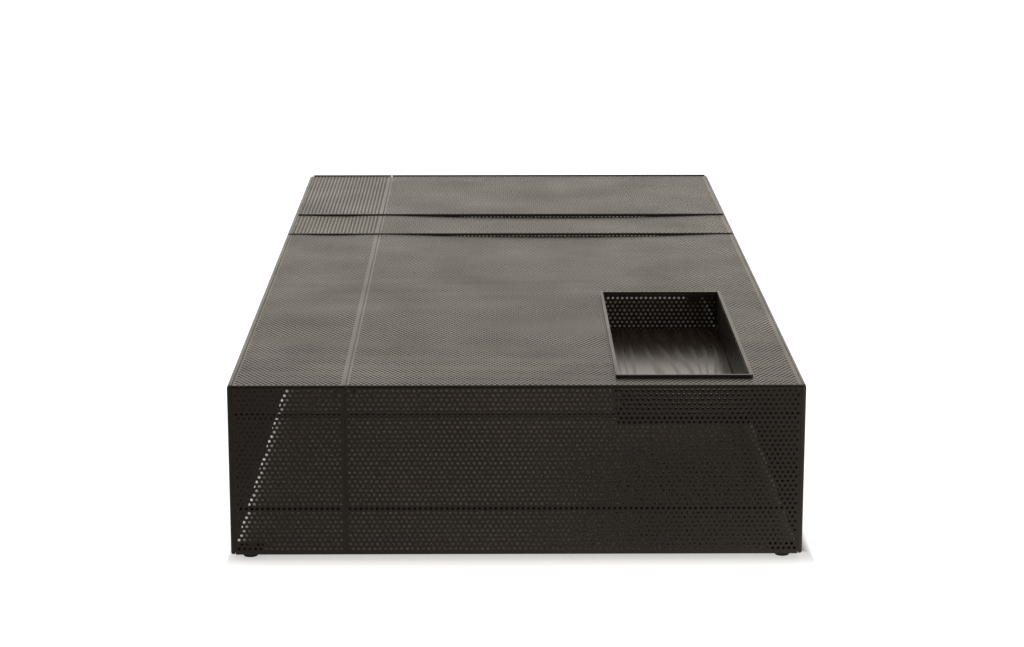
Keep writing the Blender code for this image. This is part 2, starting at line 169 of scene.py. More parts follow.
# Wood: grain stretched along the tray, with waves that a slow noise bends
GRAIN_STRETCH = (1.0, 0.16, 1.0)
GRAIN_WAVES = {"Scale": 18.0, "Distortion": 20.0, "Detail": 1.5, "Detail Scale": 0.5}
GRAIN_NOISE = {"Scale": 9.0, "Detail": 3.0}
GRAIN_NOISE_SHARE = 0.3
GRAIN_SHADES = (
    (0.15, (0.022, 0.0130, 0.0085)),
    (0.50, (0.044, 0.0275, 0.0185)),
    (1.00, (0.060, 0.0385, 0.0265)),
)
GRAIN_RANGE = (0.2, 0.6)
GRAIN_ROUGHNESS = (0.32, 0.22)
GRAIN_RELIEF = {"Strength": 0.1, "Distance": 0.0002}

# Pores of the wood, which darken it
PORE_STRETCH = (1.0, 0.035, 1.0)
PORE_NOISE = {"Scale": 1100.0, "Detail": 3.0}
PORE_SHADES = ((0.38, (0.35, 0.33, 0.32)), (0.50, (1.0, 1.0, 1.0)))
PORE_SHARE = 0.8
PORE_RELIEF = {"Strength": 0.25, "Distance": 0.0002}

# Camera of the photograph
CAMERA_PLACE = (-0.0354, -4.4530, 1.2124)
CAMERA_PITCH = math.radians(13.385)
CAMERA_YAW = math.radians(0.454)
CAMERA_LENS = 88.70
SENSOR_WIDTH = 36.0

# Sky: its strength high up, and from the front to the back where it is low
SKY_COLOUR = (1.0, 0.93, 0.84, 1)
SKY_HIGH = 0.20
SKY_FRONT = 0.118
SKY_BACK = 1.60
# Y and Z of the direction into the sky over which its strength changes
SKY_DEPTH_RANGE = (-0.5, 0.9)
SKY_HEIGHT_RANGE = (0.35, 0.70)

# Softboxes: a wide one from above and a small one at the front right
SUN_STRENGTH = 0.55
SUN_SPREAD = math.radians(80)
SUN_TILT = (math.radians(-8), math.radians(4), 0)
LAMP_PLACE = (1.3, -1.95, 0.45)
LAMP_AIM = (0.25, -0.88, 0.13)
LAMP_SIZE = 0.6
LAMP_POWER = 4.0

# Floor: white beyond the table and dim under it, with a painted shadow round and under the table
FLOOR_SIZE = 40.0
FLOOR_CLOUDS = {"Scale": 2.0, "Detail": 3.0}
FLOOR_SHADES = ((0.3, (0.72, 0.72, 0.72)), (0.7, (0.76, 0.76, 0.76)))
# Painted shade: floor colours under the table, from its left side to its right side
PAINTED_SHADE_UNDER_TABLE = (
    (0.50, (0.60, 0.54, 0.48)),
    (0.94, (0.46, 0.415, 0.37)),
    (0.98, (0.20, 0.18, 0.16)),
)
FLOOR_ROUGHNESS = 0.9
# Painted shadow round the table: each fade starts at two lines and lists (distance, light)
SIDE_LINES = (-0.412, 0.4240)
SIDE_SHADOW_FADE = (
    (0.0, 0.0), (0.006, 0.12), (0.014, 0.45), (0.020, 0.80), (0.030, 0.92), (0.050, 0.97), (0.090, 1.0),
)
END_LINES = (-0.825, 0.888)
END_SHADOW_FADE = ((0.0, 0.0), (0.008, 0.05), (0.022, 0.50), (0.055, 0.62), (0.090, 0.88), (0.130, 1.0))

# Glow of the floor that the camera doesn't see
FLOOR_GLOW = 0.05
# Before the table it grows towards the front panels, and from left to right
NEAR_GLOW = 0.42
NEAR_GLOW_DEPTH = (-1.15, -0.88)
NEAR_GLOW_WIDTH = (-0.6, 0.1)
NEAR_GLOW_SHARES = (0.20, 1.0)
# Under the table it fades from left to right
INNER_GLOW = 0.025
INNER_GLOW_WIDTH = (-0.425, 0.25)
INNER_GLOW_START = (-0.88, -0.86)

# Height of the top
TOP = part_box("top_panel_front_left")[1].z

# Bodies
TABLE = "table"
TRAY = "tray"


# Outlines of sheets

class Outline:
    """A rectangle with rounded corners. Each point lies outwards of a place on an inner rectangle."""

    def __init__(self, low, high, corner):
        self.low = np.array(low, float)
        self.high = np.array(high, float)
        self.corner = corner
        inner_low = self.low + corner
        inner_high = self.high - corner
        corners = np.array([
            (inner_high[0], inner_high[1]),
            (inner_low[0], inner_high[1]),
            (inner_low[0], inner_low[1]),
            (inner_high[0], inner_low[1]),
        ])
        places = []
        directions = []
        for turn in range(4):
            here = corners[turn]
            span = corners[(turn + 1) % 4] - here
            count = int(np.hypot(*span) // EDGE_STEP)
            arc = (turn + np.linspace(0, 1, CORNER_STEPS + 1)) * math.pi / 2
            angles = np.concatenate((arc, np.full(count, arc[-1])))
            shares = np.concatenate((np.zeros(CORNER_STEPS + 1), np.arange(1, count + 1) / (count + 1)))
            places.append(here + shares[:, None] * span)
            directions.append(np.column_stack((np.cos(angles), np.sin(angles))))
        self.places = np.concatenate(places)
        self.directions = np.concatenate(directions)
        towards = np.clip(self.directions, 0, 1) ** 2
        away = np.clip(-self.directions, 0, 1) ** 2
        self.side_shares = np.column_stack((towards, away))

    def ring(self, grow=0.0):
        grow = np.broadcast_to(grow, len(self.places))
        return self.places + (self.corner + grow)[:, None] * self.directions

    def distance(self, points):
        """How far points lie outside the outline, below zero inside it."""
        centre = (self.low + self.high) / 2
        half = (self.high - self.low) / 2
        beyond = np.abs(points - centre) - (half - self.corner)
        outside = np.hypot(*np.maximum(beyond, 0).T)
        inside = np.minimum(beyond.max(axis=1), 0)
        return outside + inside - self.corner


# Perforation

class Holes:
    """The holes that fit in an outline, each in its own rectangular cell of the staggered pattern."""

    CELL = ((-1, 0), (0, 0), (1, 0), (1, 1), (0, 1), (-1, 1))

    def __init__(self, outline, start, cutout, border):
        self.start = np.array(start, float)
        reach = (np.array([outline.low, outline.high]) - self.start) / (HALF_PITCH, ROW_PITCH)
        columns = np.arange(math.floor(reach[0, 0]), math.ceil(reach[1, 0]) + 1)
        rows = np.arange(math.floor(reach[0, 1]), math.ceil(reach[1, 1]) + 1)
        column, row = (grid.ravel() for grid in np.meshgrid(columns, rows))
        keep = (column + row) % 2 == 0
        column = column[keep]
        row = row[keep]
        centre = self.start + np.column_stack((column * HALF_PITCH, row * ROW_PITCH))
        half = np.array((HALF_PITCH, ROW_PITCH / 2))
        fits = np.ones(len(centre), bool)
        for sx, sy in ((-1, -1), (1, -1), (1, 1), (-1, 1)):
            fits &= outline.distance(centre + half * (sx, sy)) < -HOLE_MARGIN
        fits &= centre[:, 0] + half[0] < outline.high[0] - border
        if cutout is not None:
            low = cutout.low - half - HOLE_MARGIN
            high = cutout.high + half + HOLE_MARGIN
            fits &= ~((centre > low) & (centre < high)).all(axis=1)
        self.column = column[fits]
        self.row = row[fits]
        self.centre = centre[fits]
        self.first = np.array((column.min() - SPARE_COLUMNS, row.min()))
        self.stride = column.max() - column.min() + 2 * SPARE_COLUMNS

    def key(self, column, row):
        """One number for each place in the pattern, with a few spare columns at both sides."""
        return (row - self.first[1]) * self.stride + column - self.first[0]

    def grid(self):
        """Corner points of the cells, and the six of them round each hole."""
        keys = np.column_stack([self.key(self.column + dx, self.row + dy) for dx, dy in self.CELL])
        unique, around = np.unique(keys, return_inverse=True)
        column = unique % self.stride + self.first[0]
        line = unique // self.stride + self.first[1]
        points = self.start + np.column_stack((column * HALF_PITCH, (line - 0.5) * ROW_PITCH))
        return points, around.reshape(keys.shape)

    def covers(self, points):
        """Whether each point lies in the cell of one of the holes."""
        place = (points - self.start) / (HALF_PITCH, ROW_PITCH)
        row = np.round(place[:, 1]).astype(int)
        odd = row % 2
        column = 2 * np.round((place[:, 0] - odd) / 2).astype(int) + odd
        return np.isin(self.key(column, row), self.key(self.column, self.row))


def ring_strip(outer_angles, inner_angles):
    """Triangles between two rings, by angle. The outer points are numbered first."""
    outer_count = len(outer_angles)
    outer = sorted(range(outer_count), key=lambda i: outer_angles[i])
    inner = sorted(range(len(inner_angles)), key=lambda i: inner_angles[i])
    full = 2 * math.pi
    triangles = []
    i = j = 0
    while i < len(outer) or j < len(inner):
        a, b = outer[i % len(outer)], outer[(i + 1) % len(outer)]
        c, d = inner[j % len(inner)], inner[(j + 1) % len(inner)]
        next_outer = outer_angles[b] + full * ((i + 1) // len(outer))
        next_inner = inner_angles[d] + full * ((j + 1) // len(inner))
        if j >= len(inner) or (i < len(outer) and next_outer <= next_inner):
            triangles.append((a, b, outer_count + c))
            i += 1
        else:
            triangles.append((outer_count + c, a, outer_count + d))
            j += 1
    return triangles


def margin_triangles(border_points, border_edges, loops, covered):
    """Triangles between the border of the hole cells and the loops round the sheet and its cut-out."""
    edges = [tuple(edge) for edge in border_edges.tolist()]
    first = len(border_points)
    for loop in loops:
        count = len(loop)
        edges += [(first + k, first + (k + 1) % count) for k in range(count)]
        first += count
    points = np.concatenate([border_points] + loops)
    vectors = [Vector(point) for point in points.tolist()]
    _, _, faces, sources, _, _ = delaunay_2d_cdt(vectors, edges, [], 0, MERGE_REACH, True)
    source = np.array([ids[0] if ids else -1 for ids in sources])
    triangles = source[np.array(faces)]
    return triangles[~covered(points[triangles].mean(axis=1))]


# Meshes

def add_object(name, data):
    obj = bpy.data.objects.new(name, data)
    bpy.context.scene.collection.objects.link(obj)
    return obj


def build_mesh(name, points, groups):
    """A mesh from points and groups of faces, each with the texture places of all points.

    The faces of a group have the same number of corners."""
    mesh = bpy.data.meshes.new(name)
    loops = np.concatenate([faces.ravel() for faces, _ in groups])
    sizes = np.concatenate([np.full(len(faces), faces.shape[1]) for faces, _ in groups])
    starts = np.concatenate(((0,), np.cumsum(sizes)[:-1]))
    mesh.vertices.add(len(points))
    mesh.vertices.foreach_set("co", points.astype(np.float32).ravel())
    mesh.loops.add(len(loops))
    mesh.loops.foreach_set("vertex_index", loops.astype(np.int32))
    mesh.polygons.add(len(sizes))
    mesh.polygons.foreach_set("loop_start", starts.astype(np.int32))
    mesh.update(calc_edges=True)
    places = np.concatenate([places[faces].reshape(-1, 2) for faces, places in groups])
    places = places - places.min(axis=0)
    places = places / places.max()
    layer = mesh.uv_layers.new(name="OFBake")
    layer.uv.foreach_set("vector", places.astype(np.float32).ravel())
    mesh.shade_smooth()
    mesh.set_sharp_from_angle(angle=SMOOTH_ANGLE)
    return add_object(name, mesh)


def edge_profile(fold, lip=0.0):
    """Profile of an edge, as (outwards, up) points from the face to the underside.

    With a fold below the sheet's thickness the edge is cut and eased, otherwise it is folded down."""
    angles = np.linspace(0, math.pi / 2, FOLD_STEPS + 1)
    outer = [(fold * math.sin(a), fold * (math.cos(a) - 1)) for a in angles[1:]]
    if fold < SHEET:
        middle = [(fold, -SHEET / 2), (fold, -SHEET / 2 - fold / 4)]
        inner = [(fold * math.sin(a), fold * (1 - math.cos(a)) - SHEET) for a in angles[:0:-1]]
    else:
        middle = [(fold, -lip), (fold - SHEET, -lip)]
        radius = fold - SHEET
        inner = [(radius * math.sin(a), radius * math.cos(a) - fold) for a in angles[:0:-1]]
    return np.array(outer + middle + inner)


def raised_hem(width, height, lip):
    """Profile of an edge that is turned up to a low bead before it folds down."""
    angles = np.linspace(0, math.pi, FOLD_STEPS)
    middle = width / 2
    outer = [(middle - middle * math.cos(a), height - middle + middle * math.sin(a)) for a in angles]
    inner_shares = np.linspace(1, HEM_INNER_SHARE, FOLD_STEPS)
    inner = [(share * (width - SHEET), -SHEET - share * EASED_EDGE) for share in inner_shares]
    return np.array(outer + [(width, -lip), (width - SHEET, -lip)] + inner)


def ring_walls(upper, lower, count, outward):
    """Faces between two rings of points that start at upper and lower."""
    k = np.arange(count)
    following = (k + 1) % count
    if outward:
        return np.column_stack((upper + k, lower + k, lower + following, upper + following))
    return np.column_stack((upper + k, upper + following, lower + following, lower + k))


class PerforatedSheet:
    """A sheet with round holes, whose outline is where its edges start to fold.

    edges are the profiles of the right, upper, left and lower edge, and start is the centre of one hole.
    crosswise turns the rows of holes by a quarter turn, and border is a plain width at the right."""

    def __init__(
        self, outline, edges, start, sides=HOLE_SIDES, crosswise=False, cutout=None, border=0.0
    ):
        self.outline = outline
        self.cutout = cutout
        self.edges = np.array(edges)
        self.crosswise = crosswise
        pattern_outline = outline
        if crosswise:
            pattern_outline = Outline(outline.low[::-1], outline.high[::-1], outline.corner)
        self.holes = Holes(pattern_outline, start, cutout, 0.0 if crosswise else border)
        grid, self.around = self.holes.grid()
        self.hole_angles = 2 * math.pi * (np.arange(sides) + 0.5) / sides
        spokes = HOLE_RADIUS * np.column_stack((np.cos(self.hole_angles), np.sin(self.hole_angles)))
        self.grid = self.turned(grid)
        self.hole_points = self.turned((self.holes.centre[:, None, :] + spokes).reshape(-1, 2))
        self.hole_middles = self.turned(np.repeat(self.holes.centre, sides, axis=0))
        self.first_hole = len(grid)
        self.first_outline = self.first_hole + len(self.hole_points)
        self.first_cutout = self.first_outline + len(outline.places)
        self.hole_index = self.first_hole + np.arange(len(self.hole_points)).reshape(-1, sides)
        cutout_points = [] if cutout is None else [cutout.ring()]
        self.flat = np.concatenate([self.grid, self.hole_points, outline.ring()] + cutout_points)
        self.count = len(self.flat)

    def turned(self, rows):
        """In a crosswise sheet, rows in reverse: points change axes and faces change sides."""
        return rows[:, ::-1] if self.crosswise else rows

    def covers(self, points):
        """Whether each point lies in the cell of a hole or in the cut-out."""
        hidden = self.holes.covers(self.turned(points))
        if self.cutout is not None:
            hidden |= self.cutout.distance(points) < 0
        return hidden

    def margin(self):
        """Faces between the cells of the holes, the outline and the cut-out."""
        sides = np.stack((self.around, np.roll(self.around, -1, axis=1)), axis=2).reshape(-1, 2)
        sides, uses = np.unique(np.sort(sides, axis=1), axis=0, return_counts=True)
        rim, rim_sides = np.unique(sides[uses == 1], return_inverse=True)
        loops = [self.flat[self.first_outline:self.first_cutout]]
        if self.cutout is not None:
            loops.append(self.flat[self.first_cutout:])
        triangles = margin_triangles(self.grid[rim], rim_sides.reshape(-1, 2), loops, self.covers)
        return np.concatenate((rim, np.arange(self.first_outline, self.count)))[triangles]

    def face(self):
        """Faces of the upper side."""
        both = np.column_stack((self.around, self.hole_index))
        cell = np.array(Holes.CELL) * (HALF_PITCH, ROW_PITCH) - (0, ROW_PITCH / 2)
        cell_angles = np.arctan2(cell[:, 1], cell[:, 0]) % (2 * math.pi)
        strips = [both[:, triangle] for triangle in ring_strip(cell_angles, self.hole_angles)]
        return np.concatenate((self.turned(np.concatenate(strips)), self.margin()))

    def solid_points(self, bend):
        """Points of the upper side, of the underside and of the rings down round the edge."""
        layers = [np.column_stack((self.flat, np.full(self.count, z))) for z in (0.0, -SHEET)]
        profile = np.tensordot(self.outline.side_shares, self.edges, axes=1)
        for outwards, up in profile.transpose(1, 2, 0):
            layers.append(np.column_stack((self.outline.ring(outwards), up)))
        points = np.concatenate(layers)
        if bend is not None:
            points[:, 2] += bend(points[:, 0], points[:, 1])
        return points

    def ring_chain(self):
        """First points of the rings from the face's outline, round the edge, to that of the underside."""
        rings = [2 * self.count + k * len(self.outline.places) for k in range(self.edges.shape[1])]
        return [self.first_outline] + rings + [self.count + self.first_outline]

    def texture_places(self, total, chain, middle):
        """Flat places of all points for the faces above, below and in the holes."""
        ends = np.zeros((len(self.edges), 1, 2))
        closed = np.concatenate((ends, self.edges, ends - (0, SHEET)), axis=1)
        lengths = np.linalg.norm(np.diff(closed, axis=1), axis=2)
        shares = self.outline.side_shares
        from_face = shares @ np.cumsum(lengths, axis=1)
        from_below = shares @ np.cumsum(lengths[:, ::-1], axis=1)[:, ::-1]
        size = self.outline.high - self.outline.low
        shift = np.zeros(2)
        shift[int(size[0] > size[1])] = min(size) + 2 * lengths.sum(axis=1).max()
        upper, lower = np.zeros((2, total, 2))
        upper[:self.count] = self.flat
        lower[self.count:2 * self.count] = self.flat + shift
        inside = upper.copy()
        hole_span = slice(self.count + self.first_hole, self.count + self.first_outline)
        spokes = self.hole_points - self.hole_middles
        inside[hole_span] = self.hole_middles + spokes / HOLE_TEXTURE_SHRINK
        if self.cutout is not None:
            inside[self.count + self.first_cutout:2 * self.count] = self.cutout.ring(-SHEET)
        ring_length = len(self.outline.places)
        for k in range(1, middle):
            upper[chain[k]:chain[k] + ring_length] = self.outline.ring(from_face[:, k - 1])
        for k in range(middle - 1, len(chain) - 1):
            lower[chain[k]:chain[k] + ring_length] = self.outline.ring(from_below[:, k]) + shift
        return upper, lower, inside

    def hole_walls(self):
        """Faces through the sheet round each hole."""
        following = np.roll(self.hole_index, -1, axis=1)
        walls = []
        for here, after in zip(self.hole_index.T, following.T):
            if self.crosswise:
                here, after = after, here
            walls.append(np.column_stack((here, after, after + self.count, here + self.count)))
        return np.concatenate(walls)

    def build(self, name, place, bend=None):
        """The sheet as an object, with its outer face at z = 0 of place. bend moves its points in z."""
        points = self.solid_points(bend)
        chain = self.ring_chain()
        middle = (len(chain) + 1) // 2
        upper, lower, inside = self.texture_places(len(points), chain, middle)
        face = self.face()
        groups = [(face, upper), (face[:, ::-1] + self.count, lower), (self.hole_walls(), inside)]
        if self.cutout is not None:
            first = self.first_cutout
            walls = ring_walls(first, self.count + first, len(self.cutout.places), outward=False)
            groups.append((walls, inside))
        for k, (above, below) in enumerate(zip(chain, chain[1:])):
            walls = ring_walls(above, below, len(self.outline.places), outward=True)
            groups.append((walls, upper if k + 1 < middle else lower))
        world = np.array(place)
        return build_mesh(name, points @ world[:3, :3].T + world[:3, 3], groups)


def facing(normal, across, centre):
    """Places a flat piece: its own Z along normal, its own X along across."""
    up = Vector(normal).cross(Vector(across))
    turn = Matrix((across, up, normal)).transposed().to_4x4()
    return Matrix.Translation(centre) @ turn


# Materials

def new_material(name):
    material = bpy.data.materials.new(name)
    material.use_nodes = True
    tree = material.node_tree
    return material, tree.nodes, tree.links, tree.nodes["Principled BSDF"]


def feed(links, socket, value):
    """Puts a number, a colour or the output of another node into an input."""
    if isinstance(value, bpy.types.NodeSocket):
        links.new(value, socket)
    else:
        socket.default_value = value


def feed_all(links, node, values):
    for name, value in values.items():
        feed(links, node.inputs[name], value)


def object_places(nodes, links, stretch=(1, 1, 1)):
    coordinates = nodes.new("ShaderNodeTexCoord")
    mapping = nodes.new("ShaderNodeMapping")
    feed_all(links, mapping, {"Scale": stretch, "Vector": coordinates.outputs["Object"]})
    return mapping.outputs["Vector"]


def split_places(nodes, links, places):
    split = nodes.new("ShaderNodeSeparateXYZ")
    links.new(places, split.inputs["Vector"])
    return split.outputs


def noise(nodes, links, places, settings):
    texture = nodes.new("ShaderNodeTexNoise")
    feed_all(links, texture, {"Vector": places, **settings})
    return texture.outputs["Fac"]


def colour_ramp(nodes, links, value, stops):
    ramp = nodes.new("ShaderNodeValToRGB")
    elements = ramp.color_ramp.elements
    while len(elements) < len(stops):
        elements.new(0.5)
    for element, (position, colour) in zip(elements, stops):
        element.position = position
        element.color = (*colour, 1)
    links.new(value, ramp.inputs["Fac"])
    return ramp.outputs["Color"]


def map_range(nodes, links, value, source, target, kind="LINEAR"):
    """A value that runs through the target range while the given one runs through the source range."""
    node = nodes.new("ShaderNodeMapRange")
    node.interpolation_type = kind
    feed_all(links, node, {
        "Value": value,
        "From Min": source[0],
        "From Max": source[1],
        "To Min": target[0],
        "To Max": target[1],
    })
    return node.outputs["Result"]


def calculate(nodes, links, operation, *values):
    node = nodes.new("ShaderNodeMath")
    node.operation = operation
    for socket, value in zip(node.inputs, values):
        feed(links, socket, value)
    return node.outputs[0]


def blend(nodes, links, factor, one, other, data_type="RGBA", blend_type="MIX"):
    node = nodes.new("ShaderNodeMix")
    node.data_type = data_type
    node.blend_type = blend_type
    feed_all(links, node, {"Factor": factor, "A": one, "B": other})
    return node.outputs["Result"]


def bump(nodes, links, height, settings, below=None):
    node = nodes.new("ShaderNodeBump")
    feed_all(links, node, {"Height": height, **settings})
    if below is not None:
        links.new(below, node.inputs["Normal"])
    return node.outputs["Normal"]


def make_paint():
    """Satin dark bronze paint: slightly mottled, with a fine orange-peel surface."""
    material, nodes, links, shader = new_material("bronze_paint")
    places = object_places(nodes, links)
    clouds = noise(nodes, links, places, PAINT_CLOUDS)
    grain = noise(nodes, links, places, PAINT_GRAIN)
    feed_all(links, shader, {
        "Base Color": colour_ramp(nodes, links, clouds, PAINT_SHADES),
        "Roughness": map_range(nodes, links, clouds, NOISE_RANGE, PAINT_ROUGHNESS),
        "Normal": bump(nodes, links, grain, PAINT_RELIEF),
        "IOR": PAINT_IOR,
        "Specular Tint": PAINT_SHEEN,
    })
    return material


def make_steel():
    """Dull zinc plating on the small fasteners."""
    material, nodes, links, shader = new_material("zinc_steel")
    spots = noise(nodes, links, object_places(nodes, links), STEEL_SPOTS)
    feed_all(links, shader, {
        "Base Color": colour_ramp(nodes, links, spots, STEEL_SHADES),
        "Roughness": map_range(nodes, links, spots, NOISE_RANGE, STEEL_ROUGHNESS),
        "Normal": bump(nodes, links, spots, STEEL_RELIEF),
        "Metallic": 1.0,
    })
    return material


def make_rubber():
    """Matte black rubber of the feet."""
    material, nodes, links, shader = new_material("foot_rubber")
    dust = noise(nodes, links, object_places(nodes, links), RUBBER_DUST)
    feed_all(links, shader, {
        "Base Color": colour_ramp(nodes, links, dust, RUBBER_SHADES),
        "Roughness": map_range(nodes, links, dust, NOISE_RANGE, RUBBER_ROUGHNESS),
        "Normal": bump(nodes, links, dust, RUBBER_RELIEF),
    })
    return material


def wood_grain(nodes, links):
    """Arched waves along the tray, bent by a slow noise."""
    places = object_places(nodes, links, GRAIN_STRETCH)
    wander = noise(nodes, links, places, GRAIN_NOISE)
    waves = nodes.new("ShaderNodeTexWave")
    waves.wave_type = "BANDS"
    waves.bands_direction = "X"
    feed_all(links, waves, {"Vector": places, **GRAIN_WAVES})
    return calculate(nodes, links, "MULTIPLY_ADD", wander, GRAIN_NOISE_SHARE, waves.outputs["Fac"])


def make_wood():
    """Dark stained wood with arched grain along the tray, open pores and a satin lacquer."""
    material, nodes, links, shader = new_material("stained_wood")
    grain = wood_grain(nodes, links)
    pores = noise(nodes, links, object_places(nodes, links, PORE_STRETCH), PORE_NOISE)
    colour = colour_ramp(nodes, links, grain, GRAIN_SHADES)
    pore_colour = colour_ramp(nodes, links, pores, PORE_SHADES)
    relief = bump(nodes, links, pores, PORE_RELIEF)
    feed_all(links, shader, {
        "Base Color": blend(nodes, links, PORE_SHARE, colour, pore_colour, blend_type="MULTIPLY"),
        "Roughness": map_range(nodes, links, grain, GRAIN_RANGE, GRAIN_ROUGHNESS),
        "Normal": bump(nodes, links, grain, GRAIN_RELIEF, below=relief),
    })
    return material


def painted_shadow_fade(nodes, links, place, lines, stops):
    """Painted light that grows with the distance beyond two lines, and is nothing between them, so that
    it paints a shadow there.
    """
    low, high = lines
    half = (high - low) / 2
    reach = stops[-1][0]
    from_middle = calculate(nodes, links, "SUBTRACT", place, (low + high) / 2)
    distance = calculate(nodes, links, "ABSOLUTE", from_middle)
    share = map_range(nodes, links, distance, (half, half + reach), (0.0, 1.0))
    return colour_ramp(nodes, links, share, [(beyond / reach, (light,) * 3) for beyond, light in stops])


def hidden_glow(nodes, links, across, along):
    """Light that the floor gives off before the table and, much less, under its left side."""
    near = map_range(nodes, links, along, NEAR_GLOW_DEPTH, (0.0, NEAR_GLOW))
    wide = map_range(nodes, links, across, NEAR_GLOW_WIDTH, NEAR_GLOW_SHARES)
    before = calculate(nodes, links, "MULTIPLY", near, wide)
    inner = map_range(nodes, links, across, INNER_GLOW_WIDTH, (INNER_GLOW, 0.0))
    behind = map_range(nodes, links, along, INNER_GLOW_START, (0.0, 1.0))
    return blend(nodes, links, behind, before, inner, data_type="FLOAT")


def make_floor_material():
    """Pale floor of a studio with a white ground: it shines at the camera except under the table, where a
    painted shadow darkens its colour and glow.
    """
    material, nodes, links, shader = new_material("pale_floor")
    places = object_places(nodes, links)
    across, along, _ = split_places(nodes, links, places)
    beside = painted_shadow_fade(nodes, links, across, SIDE_LINES, SIDE_SHADOW_FADE)
    beyond = painted_shadow_fade(nodes, links, along, END_LINES, END_SHADOW_FADE)
    # Painted light of the floor: its colour and glow fade to nothing near and under the table, which
    # paints the table's shadow
    painted_light = calculate(nodes, links, "MAXIMUM", beside, beyond)
    # Painted shade under the table: the floor's colour there is darker, most of all at its right edge
    side = map_range(nodes, links, across, SIDE_LINES, (0.0, 1.0))
    under = colour_ramp(nodes, links, side, PAINTED_SHADE_UNDER_TABLE)
    clouds = noise(nodes, links, places, FLOOR_CLOUDS)
    around = colour_ramp(nodes, links, clouds, FLOOR_SHADES)
    seen = nodes.new("ShaderNodeLightPath").outputs["Is Camera Ray"]
    glow = map_range(nodes, links, seen, (0.0, 1.0), (FLOOR_GLOW, 1.0))
    unseen = map_range(nodes, links, seen, (0.0, 1.0), (1.0, 0.0))
    hidden = calculate(nodes, links, "MULTIPLY", hidden_glow(nodes, links, across, along), unseen)
    feed_all(links, shader, {
        "Base Color": blend(nodes, links, painted_light, under, around),
        "Roughness": FLOOR_ROUGHNESS,
        "Specular IOR Level": 0.0,
        "Emission Color": (1, 1, 1, 1),
        "Emission Strength": calculate(nodes, links, "MULTIPLY_ADD", painted_light, glow, hidden),
    })
    return material


# Sheets of the table

def sheet_outline(box, axes, edges, corner):
    """The outline, in a sheet's own frame, of the face of a CAD node seen along its normal."""
    low, high = box
    half = np.array([high[axis] - low[axis] for axis in axes]) / 2
    right, upper, left, lower = (edge[:, 0].max() for edge in edges)
    return Outline(-half + (left, lower), half - (right, upper), corner)


def settle(obj, body, slot, material, *nodes):
    obj.data.materials.append(material)
    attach(obj, body)
    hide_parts(*nodes)


def uneven(half, lift, dip):
    """Bend of a sheet whose front edge stands up and whose rear edge hangs between its supports."""
    reach = min(SAG_REACH, 2 * half[1])

    def bend(x, y):
        across = np.clip(1 - (x / (half[0] - LEDGE_REACH)) ** 2, 0, 1)
        from_front = np.clip(1 - (y + half[1]) / reach, 0, 1)
        from_rear = np.clip(1 - (half[1] - y) / reach, 0, 1)
        return lift * from_front ** 2 - dip * across * from_rear ** 2
    return bend


def top_edges(row):
    """Profiles of the right, back, left and front edge of a top sheet."""
    side = edge_profile(EASED_EDGE)
    front = edge_profile(SEAM_FOLD, SEAM_LIP)
    back = edge_profile(SAGGING_FOLD, SAGGING_LIP)
    if row == "front":
        front = edge_profile(FRONT_FOLD, FRONT_LIP)
    if row == "back":
        back = raised_hem(HEM_WIDTH, HEM_HEIGHT, FRONT_LIP)
    return side, back, side, front


def top_bend(row, column, half):
    if row == "back":
        return uneven(half, REAR_LIFT, 0.0)
    lift = 0.0 if row == "front" else SEAM_LIFT
    if column == "left":
        return uneven(half, lift, NARROW_SAG)
    return uneven(half, lift, WIDE_SAG if row == "front" else STRIP_SAG)


def top_box(node, column):
    """Extent of a top sheet: its CAD node's, but with the long seam and the sides as in the photo."""
    low, high = (Vector(corner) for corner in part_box(node))
    if column == "left":
        low.x -= LEFT_REACH
        high.x = TOP_SEAM - TOP_SEAM_GAP / 2
    else:
        low.x = TOP_SEAM + TOP_SEAM_GAP / 2
        high.x += RIGHT_REACH
    return low, high


def tray_cutout(centre):
    low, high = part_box("tray_rim")
    inset = RIM_WIDTH - SHEET - CUTOUT_GAP
    low = np.array(low.xy - centre.xy) + inset
    high = np.array(high.xy - centre.xy) - inset
    return Outline(low, high, RIM_CORNER - inset)


def make_top_sheet(paint, row, column, first_column, border):
    node = f"top_panel_{row}_{column}"
    low, high = top_box(node, column)
    centre = Vector(((low.x + high.x) / 2, (low.y + high.y) / 2, TOP))
    edges = top_edges(row)
    outline = sheet_outline((low, high), (0, 1), edges, TOP_CORNER)
    crosswise = column == "left" and row != "front"
    start = (first_column - centre.x, outline.low[1] + ROW_PITCH / 2 + 2 * HOLE_MARGIN)
    if crosswise:
        start = (outline.low[1] + HALF_PITCH + 2 * HOLE_MARGIN, CROSSWISE_ROW - centre.x)
    cutout = tray_cutout(centre) if (row, column) == ("front", "right") else None
    sheet = PerforatedSheet(outline, edges, start, crosswise=crosswise, cutout=cutout, border=border)
    bend = top_bend(row, column, (high - low) / 2)
    obj = sheet.build("sheet_" + node, Matrix.Translation(centre), bend)
    settle(obj, TABLE, "perforated_sheet", paint, node)


def make_top_sheets(paint):
    for row in ("front", "middle", "back"):
        make_top_sheet(paint, row, "left", LEFT_COLUMN, SEAM_BORDER)
        make_top_sheet(paint, row, "right", TOP_RIGHT_COLUMN, 0.0)


def panel_box(node, column):
    """Extent of a front or back panel: its CAD node's, but closer to its neighbours at both sides."""
    low, high = (Vector(corner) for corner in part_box(node))
    if column == "left":
        low.x -= PANEL_SIDE_REACH
        high.x += PANEL_SEAM_REACH
    else:
        low.x -= PANEL_SEAM_REACH
        high.x += PANEL_SIDE_REACH
    return low, high


